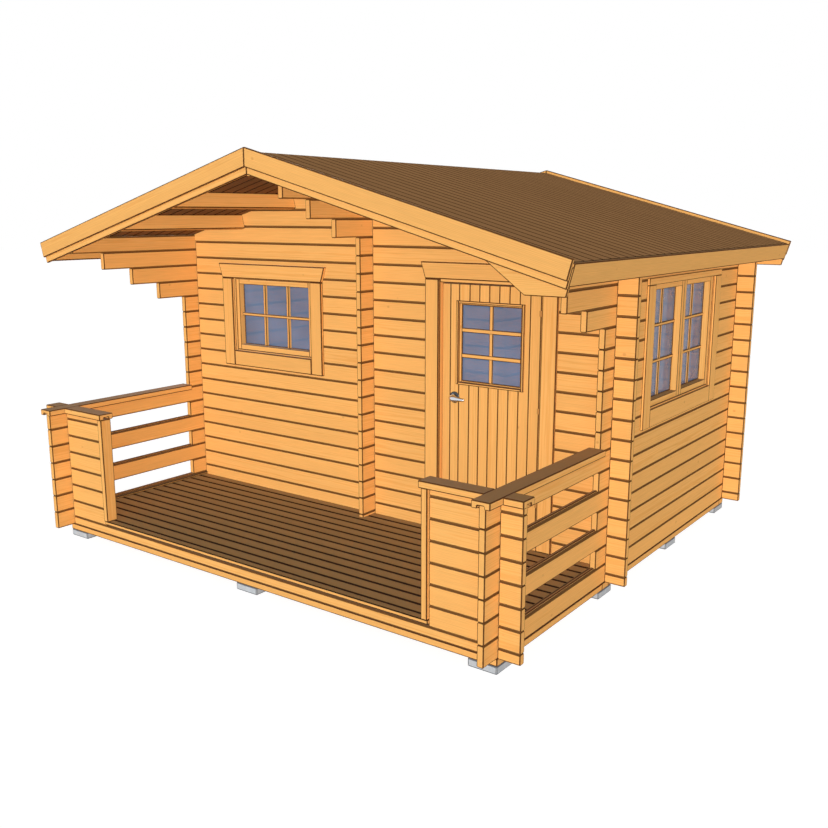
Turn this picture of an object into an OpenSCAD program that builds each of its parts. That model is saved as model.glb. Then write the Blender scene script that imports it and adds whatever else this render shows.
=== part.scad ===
// Log-built sauna house with a roofed porch.
// X runs along the front, Y runs to the back and Z is up.
// Sub-parts are drawn with the front wall's outer face on Y = 0 and the logs' underside on Z = 0,
// and placed() moves them so that the blocks stand on Z = 0 about the middle of the plan.

/* [Logs] */
// Height of one log course
course_h = 135; // [125:1:145]
// Thickness of the logs
log_t = 45; // [40:1:56]
// Length of a log end past a crossing
log_end = 148; // [120:1:170]
// Chamfer along the edges of each log
chamfer = 7; // [4:1:10]

/* [Plan] */
// Width over the side walls
cabin_w = 4050; // [3900:10:4400]
// Depth over the front and back walls
cabin_d = 2450; // [2350:10:2800]
// Depth of the porch in front of the front wall
porch_d = 1400; // [1300:10:1500]

/* [Roof] */
// Slope of the roof in degrees
roof_pitch = 15.3; // [14:0.1:16.5]
// Thickness of the roof boards
roof_t = 21; // [18:1:28]
// Reach of the eaves from the middle of the house
eave_reach = 2350; // [2330:10:2450]
// Reach of the roof in front of the front wall
front_reach = 1276; // [1200:4:1360]
// Reach of the roof behind the back wall
rear_reach = 314; // [280:2:360]
// Thickness of the bargeboards, fascias and casings
board_t = 20; // [16:1:24]
// Width of the upper bargeboards
barge_w = 120; // [100:1:130]
// Width of the lower bargeboards that shows below the upper ones
trim_show = 45; // [30:1:60]
// Rise of the bargeboards above the roof boards
barge_rise = 25; // [15:1:35]

/* [Base] */
// Height of the foundation blocks
block_h = 52; // [40:1:80]
// Plan size of the foundation blocks
block_w = 200; // [150:5:240]
// Height of the sill beams
sill_h = 48; // [40:1:60]
// Width of the sill beams
sill_w = 95; // [80:1:110]
// Height of the floors above the sill beams
floor_h = 113; // [100:1:125]

/* [Front window] */
// Width of the front window's hole
front_win_w = 930; // [800:10:1000]
// Middle of the front window along the front wall
front_win_x = -1055; // [-1100:5:-1000]

/* [Side window] */
// Width of the side window's hole
side_win_w = 1264; // [1100:4:1400]
// Middle of the side window along the right wall
side_win_y = 1222; // [1150:2:1300]

/* [Door] */
// Clear width between the door's jambs
door_w = 851; // [800:1:900]
// Middle of the doorway along the front wall
door_x = 1072; // [1040:1:1100]
// Thickness of the door leaf
leaf_t = 40; // [35:1:45]
// Depth of the door leaf's face behind the wall's face
leaf_set = 30; // [25:1:35]

/* [Hidden] */
$fn = 48;

// Colours
wood = "#ffba68";
brown = "#8a6240";
stone = "#c8cdd0";
pane = "#8a8cae";
metal = "#c4c8ce";

// Reach of a cutter past the face it cuts
cut = 10;
half_w = cabin_w / 2;
inner_w = half_w - log_t;
back_y = cabin_d - log_t;
porch_y = -porch_d;

// Courses: side walls count whole logs from the sill, front and back walls start with a half log
side_courses = 17;
half_share = 0.5;
door_head_courses = 15.5;
eave_courses = 13;
rail_courses = [0, 2, 4, 6];
rail_top_courses = 7;
inner_block = 100;
corbel_step = 269;
notch_share = 0.25;

// Roof lines
slope = tan(roof_pitch);
lean = cos(roof_pitch);
ridge_under = side_courses * course_h + inner_w * slope;
roof_lift = roof_t / lean;
ridge_top = ridge_under + roof_lift + barge_rise / lean;
ridge_courses = floor(ridge_under / course_h);
gable_top_courses = ceil(ridge_under / course_h) + half_share;
roof_front = -front_reach;
roof_rear = cabin_d + rear_reach;
fascia_drop = 112;
end_board_z = 15.11 * course_h;
end_board_foot_w = 304;
end_board_head_w = 558;
end_board_foot = eave_reach - end_board_foot_w;
end_board_head = eave_reach - end_board_head_w;
purlin_h = 115;
purlin_shares = [0.399, 0.69];

// Plan of the base
base_h = block_h + sill_h;
deck_t = 28;
deck_nose = 15;
joist_w = 45;
// Joists of the porch, a quarter of their pitch in from the side walls' inner faces
joist_count = 6;
joist_pitch = 2 * inner_w / (joist_count - half_share);
mid_sill_y = log_t / 2 - sill_w / 2;
doorway_w = 700;
doorway_return = 405;
doorway_y1 = back_y - doorway_return;
doorway_y0 = doorway_y1 - doorway_w;
doorway_courses = 15;

// Porch ends
post_x = 1505;
post_w = 45;
post_d = 90;
cap_w = 120;
cap_t = 45;
cap_rebate = 19;
cap_over = 20;
cap_under = rail_top_courses * course_h - cap_rebate;

// Windows
casing_w = 120;
casing_lap = 18;
frame_w = 74;
frame_d = 82;
glass_set = 64;
glass_t = 6;
mullion_w = 78;
front_win_z0 = 9.5 * course_h;
front_win_z1 = 14.5 * course_h;
side_win_z0 = 8 * course_h;
side_win_z1 = 15 * course_h;
header_h = 122;
header_splay = 40;
header_lap = 27;
side_header_h = 49;
side_header_lap = 37;
apron_h = 130;
apron_lap = 25;

// Door
jamb_w = 45;
door_gap = 5;
door_d = 100;
stop_w = 15;
stop_gap = 6;
threshold_top = 140;
door_head_z = door_head_courses * course_h;
leaf_foot_gap = 6;
leaf_z0 = threshold_top + leaf_foot_gap;
leaf_top = 1976;
door_x0 = door_x - door_w / 2;
door_x1 = door_x + door_w / 2;
hinge_r = 7;
hinge_pin_r = 4;
hinge_pin_gap = 0.05;
hinge_seat = 0.3;
hinge_l = 40;
hinge_plate_t = 2;
hinge_plate_w = 34;
hinge_inset = 10;
hinge_stand = 8;
hinge_x = door_x1 - hinge_inset;
hinge_y = leaf_set - hinge_stand;
hinge_zs = [380, 1060, 1740];
light_w = 528;
light_z0 = 1262;
light_z1 = 1838;
bead_w = 18;
bead_t = 16;
light_x = 1063;
lever_x = 765;
lever_z = 1142;
rose_r = 34;
rose_t = 8;
spindle_r = 6;
spindle_gap = 0.4;
neck_r = 9;
neck_l = 42;
lever_l = 112;
lever_r = 8;

// Plan box, for the place of the origin
plan_front = porch_y - log_end - cap_over;
plan_mid = (plan_front + roof_rear) / 2;

// Moves a sub-part from the wall's frame to the house's own frame
module placed() {
    translate([0, -plan_mid, base_h]) children();
}

// Mirrors a left or right sub-part to both sides
module both_sides() {
    children();
    mirror([1, 0, 0]) children();
}

// Heights of the joints between two course numbers, whole or half
function joints(low, high) = [for (k = [low : high]) k * course_h];
function roof_under(x) = ridge_under - abs(x) * slope;

// One edge of a stack of chamfered logs, from its lowest joint to its highest
function stack_edge(levels) = [
    for (i = [0 : len(levels) - 2]) each [
        [log_t - chamfer, levels[i]],
        [log_t, levels[i] + chamfer],
        [log_t, levels[i + 1] - chamfer]],
    [log_t - chamfer, levels[len(levels) - 1]]];
function stack_outline(levels) = let (edge = stack_edge(levels)) concat(edge,
    [for (i = [len(edge) - 1 : -1 : 0]) [log_t - edge[i][0], edge[i][1]]]);

// Stack of logs that runs along X, with its outer face on Y = 0
module across_stack(levels, x0, x1) {
    translate([x0, 0, 0]) rotate([90, 0, 90]) linear_extrude(x1 - x0) polygon(stack_outline(levels));
}

// Stack of logs that runs along Y, from X = 0 to the logs' thickness
module along_stack(levels, y0, y1) {
    translate([0, y1, 0]) rotate([90, 0, 0]) linear_extrude(y1 - y0) polygon(stack_outline(levels));
}

// Notches for the side logs that cross a front or back wall at x
module across_notches(x, low, high) {
    for (k = [low : high])
        translate([x, -cut, (k + notch_share) * course_h])
            cube([log_t, log_t + 2 * cut, 2 * notch_share * course_h]);
}

// Notches for the front or back logs that cross a side wall at y
module along_notches(y, low, high) {
    for (k = [low : high])
        translate([-cut, y, (k - notch_share) * course_h])
            cube([log_t + 2 * cut, log_t, 2 * notch_share * course_h]);
}

// Everything above the underside of the roof boards
module over_roof() {
    wide = half_w + 2 * log_end;
    translate([0, roof_rear, 0]) rotate([90, 0, 0]) linear_extrude(roof_rear - roof_front)
        polygon([[-wide, roof_under(wide)], [0, ridge_under], [wide, roof_under(wide)],
            [wide, 2 * ridge_under], [-wide, 2 * ridge_under]]);
}

// Plain box between two corners
module block(low, high) {
    translate(low) cube(high - low);
}

// Foundation blocks under the sills' corners, crossings and middles
module foundation_blocks() {
    edge_x = half_w - block_w;
    rows = [porch_y, log_t / 2 - block_w / 2, cabin_d / 2 - block_w / 2, cabin_d - block_w];
    color(stone) placed() for (x = [-half_w, -block_w / 2, edge_x], y = rows)
        block([x, y, -base_h], [x + block_w, y + block_w, -sill_h]);
}

// Sill beams along X: under the porch front, the front wall and the back wall
module cross_sills() {
    color(wood) placed() for (y = [porch_y, mid_sill_y, cabin_d - sill_w])
        block([-half_w, y, -sill_h], [half_w, y + sill_w, 0]);
}

// Sill beams along Y between the cross sills: both sides and the partition
module long_sills() {
    mid_end = mid_sill_y + sill_w;
    color(wood) placed() {
        for (x = [-half_w, half_w - sill_w]) {
            block([x, porch_y + sill_w, -sill_h], [x + sill_w, mid_sill_y, 0]);
            block([x, mid_end, -sill_h], [x + sill_w, cabin_d - sill_w, 0]);
        }
        block([-sill_w / 2, mid_end, -sill_h], [sill_w / 2, cabin_d - sill_w, 0]);
    }
}

// Floor of both rooms, slotted for the partition on both sides of its doorway
module room_floor() {
    color(brown) placed() difference() {
        block([-inner_w, log_t, 0], [inner_w, back_y, floor_h]);
        block([-log_t / 2, 0, -cut], [log_t / 2, doorway_y0, floor_h + cut]);
        block([-log_t / 2, doorway_y1, -cut], [log_t / 2, cabin_d, floor_h + cut]);
    }
}

// Joists of the porch, on the ledges of the front and middle sills
module porch_joists() {
    first = -joist_pitch * (joist_count - 1) / 2;
    color(wood) placed() for (i = [0 : joist_count - 1])
        translate([first + i * joist_pitch - joist_w / 2, porch_y + log_t, 0])
            cube([joist_w, porch_d - log_t, floor_h - deck_t]);
}

// Porch boards as one slab, with a nosing over the front log and a notch for the partition's log ends
module porch_deck() {
    nose_x = post_x + post_w;
    color(brown) placed() difference() {
        union() {
            block([-inner_w, porch_y + log_t, floor_h - deck_t], [inner_w, 0, floor_h]);
            block([-nose_x, porch_y - deck_nose, floor_h - deck_t], [nose_x, porch_y + log_t, floor_h]);
        }
        block([-log_t / 2, -log_end, 0], [log_t / 2, cut, floor_h + cut]);
    }
}

// Half log along the porch front
module porch_front_log() {
    reach = half_w + log_end;
    color(wood) placed() translate([0, porch_y, 0]) difference() {
        across_stack([0, half_share * course_h], -reach, reach);
        across_notches(-half_w, 0, 0);
        across_notches(inner_w, 0, 0);
    }
}

// Short front walls beside the porch entrance
module porch_stubs() {
    levels = concat(joints(half_share, rail_top_courses - half_share), [rail_top_courses * course_h]);
    color(wood) placed() both_sides() translate([0, porch_y, 0]) difference() {
        across_stack(levels, post_x + post_w, half_w + log_end);
        across_notches(inner_w, 0, rail_top_courses - 1);
    }
}

// Crossing log ends at the porch corners, with short inner ends between the rails
module porch_corners() {
    seam = porch_y + log_t / 2;
    color(wood) placed() both_sides() translate([inner_w, 0, 0]) difference() {
        along_stack(joints(0, rail_top_courses), porch_y - log_end, porch_y + log_t + inner_block);
        along_notches(porch_y, 0, rail_top_courses);
        for (k = rail_courses)
            block([-cut, seam, k * course_h], [log_t + cut, 0, (k + 1) * course_h]);
    }
}

// Rails of the porch sides: every other side log runs on past the front wall
module porch_rails() {
    seam = log_t / 2;
    color(wood) placed() both_sides() translate([inner_w, 0, 0]) difference() {
        for (k = rail_courses)
            along_stack(joints(k, k + 1), porch_y + seam, seam);
        along_notches(0, 0, rail_top_courses);
        along_notches(porch_y, 0, rail_top_courses);
    }
}

// Posts that close the stubs beside the porch entrance
module end_posts() {
    mid_y = porch_y + log_t / 2;
    color(wood) placed() both_sides()
        block([post_x, mid_y - post_d / 2, floor_h], [post_x + post_w, mid_y + post_d / 2, cap_under]);
}

// Section of a cap board, rebated to sit over a log's top
module cap_section() {
    difference() {
        translate([-cap_w / 2, 0]) square([cap_w, cap_t]);
        translate([-log_t / 2, -cut]) square([log_t, cap_rebate + cut]);
    }
}

// Caps along the side rails, grooved over the stubs' tops
module side_caps() {
    color(wood) placed() both_sides() difference() {
        translate([inner_w + log_t / 2, -log_end, cap_under])
            rotate([90, 0, 0]) linear_extrude(porch_d + cap_over) cap_section();
        block([0, porch_y, 0], [half_w + log_end, porch_y + log_t, rail_top_courses * course_h]);
    }
}

// Caps over the stubs, in two lengths on each side of the side caps
module front_caps() {
    mid_x = inner_w + log_t / 2;
    spans = [[post_x - cap_over / 2, mid_x - cap_w / 2], [mid_x + cap_w / 2, half_w + log_end + cap_over]];
    color(wood) placed() both_sides() for (span = spans)
        translate([span[0], porch_y + log_t / 2, cap_under])
            rotate([90, 0, 90]) linear_extrude(span[1] - span[0]) cap_section();
}

// Front wall left of the doorway, with the window's hole
module front_wall_left() {
    levels = concat([0], joints(half_share, door_head_courses));
    color(wood) placed() difference() {
        across_stack(levels, -half_w - log_end, door_x0 - jamb_w);
        across_notches(-half_w, 0, door_head_courses);
        across_notches(-log_t / 2, 0, door_head_courses);
        block([front_win_x - front_win_w / 2, -cut, front_win_z0],
            [front_win_x + front_win_w / 2, log_t + cut, front_win_z1]);
    }
}

// Front wall right of the doorway
module front_wall_right() {
    levels = concat([0], joints(half_share, door_head_courses));
    color(wood) placed() difference() {
        across_stack(levels, door_x1 + jamb_w, half_w + log_end);
        across_notches(inner_w, 0, door_head_courses);
    }
}

// Crossings with the side walls and the partition, above a course
module gable_notches(low) {
    for (x = [-half_w, inner_w]) across_notches(x, low, side_courses - 1);
    across_notches(-log_t / 2, low, ridge_courses - 1);
}

// Front wall over the doorway, up to the roof
module front_gable() {
    reach = half_w + log_end;
    color(wood) placed() difference() {
        across_stack(joints(door_head_courses, gable_top_courses), -reach, reach);
        gable_notches(door_head_courses - half_share);
        over_roof();
        purlin_bars();
    }
}

// Back wall with its gable
module back_wall() {
    reach = half_w + log_end;
    levels = concat([0], joints(half_share, gable_top_courses));
    color(wood) placed() difference() {
        translate([0, back_y, 0]) difference() {
            across_stack(levels, -reach, reach);
            gable_notches(0);
        }
        over_roof();
        purlin_bars();
    }
}

// Side wall up to the eave logs, with its rail courses cut back to the middle of the crossing
module side_wall() {
    difference() {
        along_stack(joints(0, eave_courses), -log_end, cabin_d + log_end);
        along_notches(0, 0, eave_courses);
        along_notches(back_y, 0, eave_courses);
        for (k = rail_courses)
            block([-cut, -log_end - cut, k * course_h], [log_t + cut, log_t / 2, (k + 1) * course_h]);
    }
}

module left_wall() {
    color(wood) placed() translate([-half_w, 0, 0]) side_wall();
}

module right_wall() {
    color(wood) placed() translate([inner_w, 0, 0]) difference() {
        side_wall();
        side_window_hole();
    }
}

// Hole of the side window, in the right wall's own frame
module side_window_hole() {
    block([-cut, side_win_y - side_win_w / 2, side_win_z0],
        [log_t + cut, side_win_y + side_win_w / 2, side_win_z1]);
}

// Logs that step out under the roof, each course further than the one below it
module stepped_logs(low, high, first_step, front) {
    for (k = [low : high]) {
        step = max(0, k - first_step + 1);
        start = k == high ? front : -log_end - step * corbel_step;
        along_stack(joints(k, k + 1), start, cabin_d + log_end);
    }
}

// Upper side logs, notched for the front and back walls
module eave_logs(front) {
    difference() {
        stepped_logs(eave_courses, side_courses - 1, eave_courses, front);
        along_notches(0, eave_courses, side_courses);
        along_notches(back_y, eave_courses, side_courses);
    }
}

module left_eave_logs() {
    color(wood) placed() difference() {
        translate([-half_w, 0, 0]) eave_logs(roof_front + 2 * board_t);
        over_roof();
    }
}

module right_eave_logs() {
    color(wood) placed() difference() {
        translate([inner_w, 0, 0]) difference() {
            eave_logs(roof_front + 3 * board_t);
            side_window_hole();
        }
        over_roof();
    }
}

// Partition from the front wall to its doorway
module partition_front() {
    color(wood) placed() translate([-log_t / 2, 0, 0]) difference() {
        along_stack(joints(0, doorway_courses), -log_end, doorway_y0);
        along_notches(0, 0, doorway_courses);
    }
}

// Partition from its doorway to the back wall
module partition_back() {
    color(wood) placed() translate([-log_t / 2, 0, 0]) difference() {
        along_stack(joints(0, doorway_courses), doorway_y1, cabin_d + log_end);
        along_notches(back_y, 0, doorway_courses);
    }
}

// Partition over its doorway, stepping out to carry the ridge
module partition_top() {
    color(wood) placed() difference() {
        translate([-log_t / 2, 0, 0]) difference() {
            stepped_logs(doorway_courses, ridge_courses - 1, side_courses, roof_front + 2 * board_t);
            along_notches(0, doorway_courses, ridge_courses);
            along_notches(back_y, doorway_courses, ridge_courses);
        }
        over_roof();
    }
}

// Bars of the purlins, square to the roof slope
module purlin_bars() {
    both_sides() for (share = purlin_shares)
        translate([share * half_w, 0, roof_under(share * half_w)]) rotate([0, roof_pitch, 0])
            block([-log_t / 2, roof_front + 2 * board_t, -purlin_h],
                [log_t / 2, roof_rear - 2 * board_t, 0]);
}

module purlins() {
    color(wood) placed() purlin_bars();
}

// Right half of the roof boards, from the ridge to the fascia
module roof_half() {
    edge = eave_reach - board_t;
    translate([0, roof_rear - board_t, 0]) rotate([90, 0, 0])
        linear_extrude(roof_rear - roof_front - 2 * board_t)
            polygon([[0, ridge_under], [edge, roof_under(edge)], [edge, roof_under(edge) + roof_lift],
                [0, ridge_under + roof_lift]]);
}

module roof_left() {
    color(brown) placed() mirror([1, 0, 0]) roof_half();
}

module roof_right() {
    color(brown) placed() roof_half();
}

// Sloped board in the gable's plane between two depths below the bargeboard's top,
// with its lower end square to the slope
module sloped_board(low, high) {
    tip = eave_reach;
    tip_z = ridge_top - tip * slope;
    sine = sin(roof_pitch);
    polygon([[0, ridge_top - high / lean], [tip - high * sine, tip_z - high * lean],
        [tip - low * sine, tip_z - low * lean], [0, ridge_top - low / lean]]);
}

// Right bargeboards at the front and the rear
module barge_pair() {
    for (y = [roof_front, roof_rear - board_t])
        translate([0, y + board_t, 0]) rotate([90, 0, 0]) linear_extrude(board_t) sloped_board(0, barge_w);
}

module left_barges() {
    color(wood) placed() mirror([1, 0, 0]) barge_pair();
}

module right_barges() {
    color(wood) placed() barge_pair();
}

// Right lower bargeboards, behind the upper ones and under the roof boards
module trim_pair() {
    for (y = [roof_front + board_t, roof_rear - 2 * board_t])
        translate([0, y + board_t, 0]) rotate([90, 0, 0]) linear_extrude(board_t)
            sloped_board(roof_t + barge_rise, barge_w + trim_show);
}

module left_trims() {
    color(wood) placed() mirror([1, 0, 0]) trim_pair();
}

module right_trims() {
    color(wood) placed() trim_pair();
}

// Fascias along the eaves
module fascias() {
    top = roof_under(eave_reach) + roof_lift;
    color(wood) placed() both_sides()
        block([eave_reach - board_t, roof_front + 2 * board_t, top - fascia_drop],
            [eave_reach, roof_rear - 2 * board_t, top]);
}

// Boards that close the right eave's ends below the bargeboards, as far as their lower corner
module eave_end_boards() {
    edge = eave_reach - (barge_w + trim_show) * sin(roof_pitch);
    head_z = ridge_top - end_board_head * slope - (barge_w + trim_show) / lean;
    color(wood) placed() for (y = [roof_front + 2 * board_t, roof_rear - 3 * board_t])
        translate([0, y + board_t, 0]) rotate([90, 0, 0]) linear_extrude(board_t)
            polygon([[end_board_foot, end_board_z], [edge, end_board_z], [edge, roof_under(edge)],
                [end_board_head, roof_under(end_board_head)], [end_board_head, head_z]]);
}

// Casing round a hole: two sides, an apron between them and a header, seen from outside.
// It is drawn in X and Z about the hole's middle, with its back on Y = 0.
module casing(hole_w, z0, head_z, head_h, splay) {
    clear = hole_w / 2 - casing_lap;
    wide = clear + casing_w;
    foot_z = z0 + apron_lap - apron_h;
    rotate([90, 0, 0]) linear_extrude(board_t) {
        for (x = [-wide, clear])
            translate([x, foot_z]) square([casing_w, head_z - foot_z]);
        translate([-clear, foot_z]) square([2 * clear, apron_h]);
        polygon([[-wide, head_z], [wide, head_z], [wide + splay, head_z + head_h],
            [-wide - splay, head_z + head_h]]);
    }
}

// Window frame about the hole's middle, from its outer face on Y = 0 inwards
module window_frame(hole_w, z0, z1, lights) {
    light_w = (hole_w - 2 * frame_w - (lights - 1) * mullion_w) / lights;
    difference() {
        block([-hole_w / 2, 0, z0], [hole_w / 2, frame_d, z1]);
        for (i = [0 : lights - 1])
            translate([-hole_w / 2 + frame_w + i * (light_w + mullion_w), -cut, z0 + frame_w])
                cube([light_w, frame_d + 2 * cut, z1 - z0 - 2 * frame_w]);
    }
}

// Panes of a window, set back in its frame
module window_panes(hole_w, z0, z1, lights) {
    light_w = (hole_w - 2 * frame_w - (lights - 1) * mullion_w) / lights;
    for (i = [0 : lights - 1])
        translate([-hole_w / 2 + frame_w + i * (light_w + mullion_w), glass_set, z0 + frame_w])
            cube([light_w, glass_t, z1 - z0 - 2 * frame_w]);
}

// Places a window's piece in the front wall or in the right wall
module in_front_window() {
    placed() translate([front_win_x, 0, 0]) children();
}

module in_side_window() {
    placed() translate([half_w, side_win_y, 0]) rotate([0, 0, 90]) children();
}

module front_window_casing() {
    color(wood) in_front_window()
        casing(front_win_w, front_win_z0, front_win_z1 - header_lap, header_h, header_splay);
}

module front_window_frame() {
    color(wood) in_front_window() window_frame(front_win_w, front_win_z0, front_win_z1, 1);
}

module front_window_glass() {
    color(pane) in_front_window() window_panes(front_win_w, front_win_z0, front_win_z1, 1);
}

module side_window_casing() {
    color(wood) in_side_window()
        casing(side_win_w, side_win_z0, side_win_z1 - side_header_lap, side_header_h, 0);
}

module side_window_frame() {
    color(wood) in_side_window() window_frame(side_win_w, side_win_z0, side_win_z1, 2);
}

module side_window_glass() {
    color(pane) in_side_window() window_panes(side_win_w, side_win_z0, side_win_z1, 2);
}

// Casing of the doorway, with a splayed header that hides the settling gap
module door_casing() {
    wide = door_w / 2 + casing_w;
    head_z = leaf_top + door_gap + apron_lap;
    color(wood) placed() translate([door_x, 0, 0]) rotate([90, 0, 0]) linear_extrude(board_t) {
        for (x = [-wide, door_w / 2])
            translate([x, floor_h]) square([casing_w, head_z - floor_h]);
        polygon([[-wide, head_z], [wide, head_z], [wide + header_splay, head_z + header_h],
            [-wide - header_splay, head_z + header_h]]);
    }
}

// Jambs and head of the doorway, with a stop behind the leaf
module door_frame() {
    stop_y = leaf_set + leaf_t + stop_gap;
    head_z = leaf_top + door_gap;
    color(wood) placed() difference() {
        block([door_x0 - jamb_w, 0, threshold_top], [door_x1 + jamb_w, door_d, door_head_z]);
        block([door_x0, -cut, 0], [door_x1, stop_y, head_z]);
        block([door_x0 + stop_w, 0, 0], [door_x1 - stop_w, door_d + cut, head_z - stop_w]);
    }
}

// Threshold on the sill, under the jambs
module door_threshold() {
    color(wood) placed()
        block([door_x0 - jamb_w, 0, 0], [door_x1 + jamb_w, log_t, threshold_top]);
}

// Door leaf with the hole of its light and the bore of its lever
module door_leaf() {
    color(wood) placed() difference() {
        block([door_x0 + door_gap, leaf_set, leaf_z0],
            [door_x1 - door_gap, leaf_set + leaf_t, leaf_top]);
        block([light_x - light_w / 2, 0, light_z0], [light_x + light_w / 2, door_d, light_z1]);
        translate([lever_x, 0, lever_z]) rotate([-90, 0, 0])
            cylinder(h = door_d, r = spindle_r + spindle_gap);
    }
}

// Glazing beads on both faces of the leaf
module door_beads() {
    wide = light_w / 2 + bead_w;
    color(wood) placed() for (y = [leaf_set - bead_t, leaf_set + leaf_t]) difference() {
        block([light_x - wide, y, light_z0 - bead_w], [light_x + wide, y + bead_t, light_z1 + bead_w]);
        block([light_x - light_w / 2, y - cut, light_z0],
            [light_x + light_w / 2, y + bead_t + cut, light_z1]);
    }
}

module door_glass() {
    mid = leaf_set + leaf_t / 2;
    color(pane) placed() block([light_x - light_w / 2, mid - glass_t / 2, light_z0],
        [light_x + light_w / 2, mid + glass_t / 2, light_z1]);
}

// Jamb's half of each hinge: a plate in the reveal, a lower knuckle and the pin
module hinge_pins() {
    color(metal) placed() for (z = hinge_zs) {
        translate([hinge_x, hinge_y, z]) {
            cylinder(h = hinge_l, r = hinge_r);
            cylinder(h = 2 * hinge_l, r = hinge_pin_r);
        }
        block([hinge_x, hinge_y - hinge_plate_t / 2, z],
            [door_x1, hinge_y + hinge_plate_t / 2, z + hinge_l]);
        block([door_x1 - hinge_plate_t, hinge_y - hinge_plate_w / 2, z],
            [door_x1, hinge_y, z + hinge_l]);
    }
}

// Leaf's half of each hinge: a knuckle over the pin and a plate on the leaf's face
module hinge_knuckles() {
    color(metal) placed() for (z = hinge_zs)
        translate([hinge_x, hinge_y, z + hinge_l + hinge_seat]) difference() {
            union() {
                cylinder(h = hinge_l, r = hinge_r);
                block([-hinge_plate_w, leaf_set - hinge_plate_t - hinge_y, 0],
                    [0, leaf_set - hinge_y, hinge_l]);
            }
            translate([0, 0, -cut]) cylinder(h = hinge_l + 2 * cut, r = hinge_pin_r + hinge_pin_gap);
        }
}

// Roses on both faces of the leaf, round the lever's spindle
module handle_roses() {
    color(metal) placed() for (y = [leaf_set - rose_t, leaf_set + leaf_t])
        translate([lever_x, y, lever_z]) rotate([-90, 0, 0]) difference() {
            cylinder(h = rose_t, r = rose_r);
            translate([0, 0, -cut]) cylinder(h = rose_t + 2 * cut, r = spindle_r + spindle_gap);
        }
}

// One grip of the lever: a neck out of the rose and a bar towards the hinges
module lever_grip() {
    cylinder(h = neck_l, r = neck_r);
    translate([0, 0, neck_l]) {
        sphere(r = neck_r);
        rotate([0, 90, 0]) cylinder(h = lever_l, r = lever_r);
        translate([lever_l, 0, 0]) sphere(r = lever_r);
    }
}

// Lever: a grip on each side of the leaf and the spindle that joins them
module door_lever() {
    mid = leaf_set + leaf_t / 2;
    reach = leaf_t / 2 + rose_t + door_gap;
    color(metal) placed() translate([lever_x, mid, lever_z]) {
        rotate([90, 0, 0]) cylinder(h = 2 * reach, r = spindle_r, center = true);
        translate([0, -reach, 0]) rotate([90, 0, 0]) lever_grip();
        mirror([0, 1, 0]) translate([0, -reach, 0]) rotate([90, 0, 0]) lever_grip();
    }
}

foundation_blocks();
cross_sills();
long_sills();
room_floor();
porch_joists();
porch_deck();
porch_front_log();
porch_stubs();
porch_corners();
porch_rails();
end_posts();
side_caps();
front_caps();
front_wall_left();
front_wall_right();
front_gable();
back_wall();
left_wall();
right_wall();
left_eave_logs();
right_eave_logs();
partition_front();
partition_back();
partition_top();
purlins();
roof_left();
roof_right();
left_barges();
right_barges();
left_trims();
right_trims();
fascias();
eave_end_boards();
front_window_casing();
front_window_frame();
front_window_glass();
side_window_casing();
side_window_frame();
side_window_glass();
door_casing();
door_frame();
door_threshold();
door_leaf();
door_beads();
door_glass();
hinge_pins();
hinge_knuckles();
handle_roses();
door_lever();
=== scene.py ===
import math
import bpy
import numpy as np
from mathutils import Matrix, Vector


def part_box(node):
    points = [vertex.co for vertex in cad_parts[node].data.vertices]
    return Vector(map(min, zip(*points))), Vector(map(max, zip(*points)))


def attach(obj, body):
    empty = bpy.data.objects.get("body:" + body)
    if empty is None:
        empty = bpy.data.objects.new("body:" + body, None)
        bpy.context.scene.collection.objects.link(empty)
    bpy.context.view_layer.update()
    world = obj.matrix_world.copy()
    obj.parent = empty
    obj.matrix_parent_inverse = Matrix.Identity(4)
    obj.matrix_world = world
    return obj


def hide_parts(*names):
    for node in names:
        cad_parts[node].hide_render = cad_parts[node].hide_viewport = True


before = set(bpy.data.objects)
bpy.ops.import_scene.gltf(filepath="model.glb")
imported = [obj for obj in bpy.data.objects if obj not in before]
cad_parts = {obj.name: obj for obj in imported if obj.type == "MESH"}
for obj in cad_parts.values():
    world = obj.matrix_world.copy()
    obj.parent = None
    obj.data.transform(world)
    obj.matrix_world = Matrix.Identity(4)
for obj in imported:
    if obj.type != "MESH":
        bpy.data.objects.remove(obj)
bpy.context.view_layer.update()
rng = np.random.default_rng(23)  # one seeded source for the tones and grain of every stick

# The house is set out from the outer face of the front wall and the underside of the lowest logs
house = {
    "course": 0.135,  # height of one log
    "logThick": 0.045,
    "logChamfer": 0.007,  # bevel along a log's edges
    "logEnd": 0.148,  # log past a crossing
    "notchGap": 0.001,  # clear on each side of a log that crosses another
    "halfWidth": -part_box("left_wall")[0].x,
    "depth": 2.45,  # over the front and back walls
    "porch": -1.4,  # outer face of the porch front
    "roofPitch": math.radians(15.3),
    "roofRows": 17,  # courses up to the roof boards, at the inner faces of the side walls
    "roofEnds": (-1.276, 2.764),  # front and back of the roof
    "eaveReach": 2.35,  # from the middle to the ends of the bargeboards
    "boardThick": 0.02,
    "floorTop": 0.113,
}
setOut = np.array((0.0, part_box("front_wall_left")[0].y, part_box("left_wall")[0].z))
course, logT, logEnd = house["course"], house["logThick"], house["logEnd"]
halfW, innerW = house["halfWidth"], house["halfWidth"] - house["logThick"]
backY, porchY, boardT = house["depth"] - logT, house["porch"], house["boardThick"]
slope, lean, sine = (f(house["roofPitch"]) for f in (math.tan, math.cos, math.sin))
ridgeUnder = house["roofRows"] * course + innerW * slope  # underside of the roof boards at the ridge
(roofFront, roofRear), eaveReach = house["roofEnds"], house["eaveReach"]


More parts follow.
